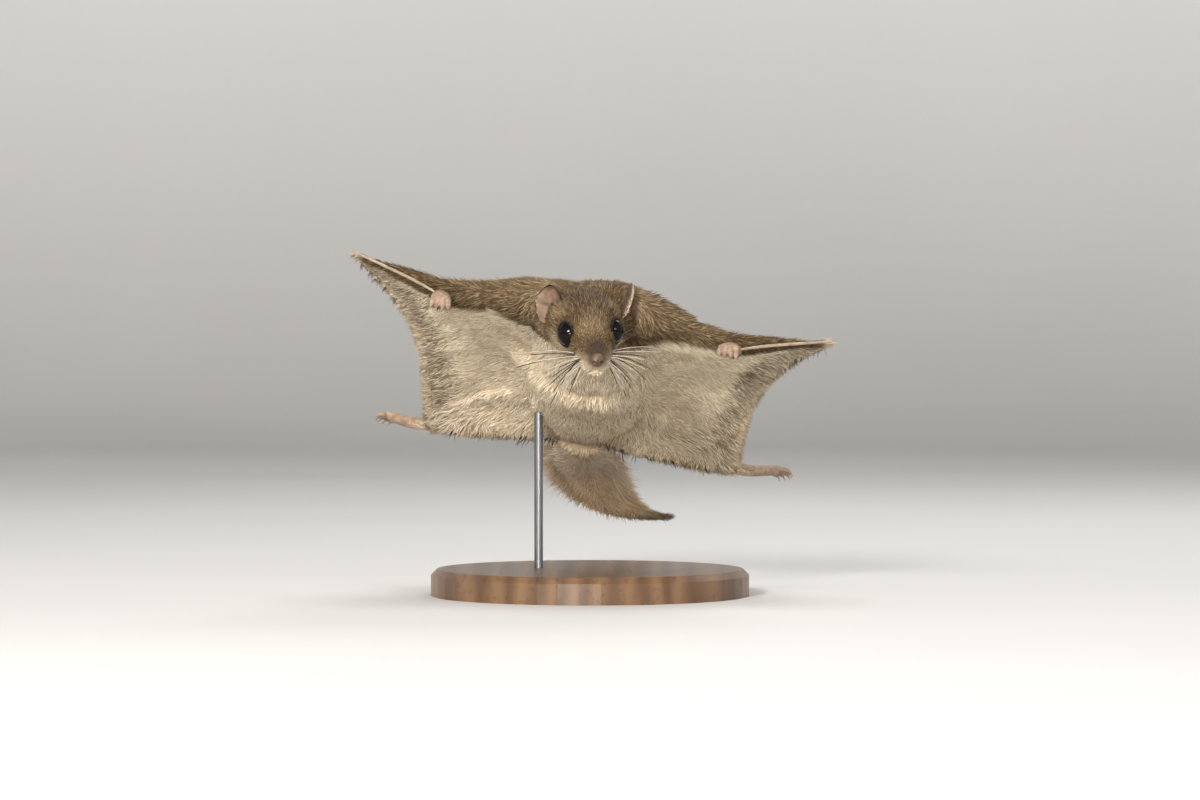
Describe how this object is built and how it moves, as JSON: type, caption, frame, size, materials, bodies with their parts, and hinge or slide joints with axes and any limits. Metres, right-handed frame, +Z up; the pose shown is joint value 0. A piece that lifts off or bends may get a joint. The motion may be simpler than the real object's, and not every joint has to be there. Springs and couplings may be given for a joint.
{
  "type": "flying squirrel display model",
  "caption": "Life-size still model of a southern flying squirrel in full glide, held up by a thin rod on a round wooden display base.",
  "frame": {"origin": "centre of the underside of the stand's round base", "axes": "+Z up; the animal glides towards -Y with its tail towards +Y; +X is the animal's left side"},
  "size_m": [0.1562, 0.1942, 0.1161],
  "materials": {
    "fur_back": "dense short grey-brown fur, matte",
    "fur_head": "very short grizzled grey-brown fur, matte",
    "fur_belly": "soft creamy white belly fur over thin skin, matte",
    "fur_tail": "flat brush of soft tawny hair, matte",
    "nose_skin": "bare skin, slightly moist",
    "ear_skin": "thin, finely haired skin",
    "bare_skin": "finely wrinkled skin with sparse hair",
    "eye": "wet, glossy, almost black",
    "stand_wood": "dark satin varnish",
    "stand_steel": "brushed"
  },
  "bodies": {
    "root": {"ear_left": "ear_skin", "ear_right": "ear_skin", "eye_left": "eye", "eye_right": "eye", "foot_left": "bare_skin", "foot_right": "bare_skin", "forearm_left": "fur_back", "forearm_right": "fur_back", "hand_left": "bare_skin", "hand_right": "bare_skin", "head": "fur_head", "neck": "fur_back", "nose": "nose_skin", "patagium_left": "fur_belly", "patagium_right": "fur_belly", "rear_membrane_left": "fur_belly", "rear_membrane_right": "fur_belly", "shin_left": "fur_back", "shin_right": "fur_back", "stand_base": "stand_wood", "stand_rod": "stand_steel", "tail_brush": "fur_tail", "tail_root": "fur_tail", "thigh_left": "fur_back", "thigh_right": "fur_back", "torso": "fur_back", "upper_arm_left": "fur_back", "upper_arm_right": "fur_back", "wing_tip_left": "fur_back", "wing_tip_right": "fur_back"}
  },
  "joints": []
}
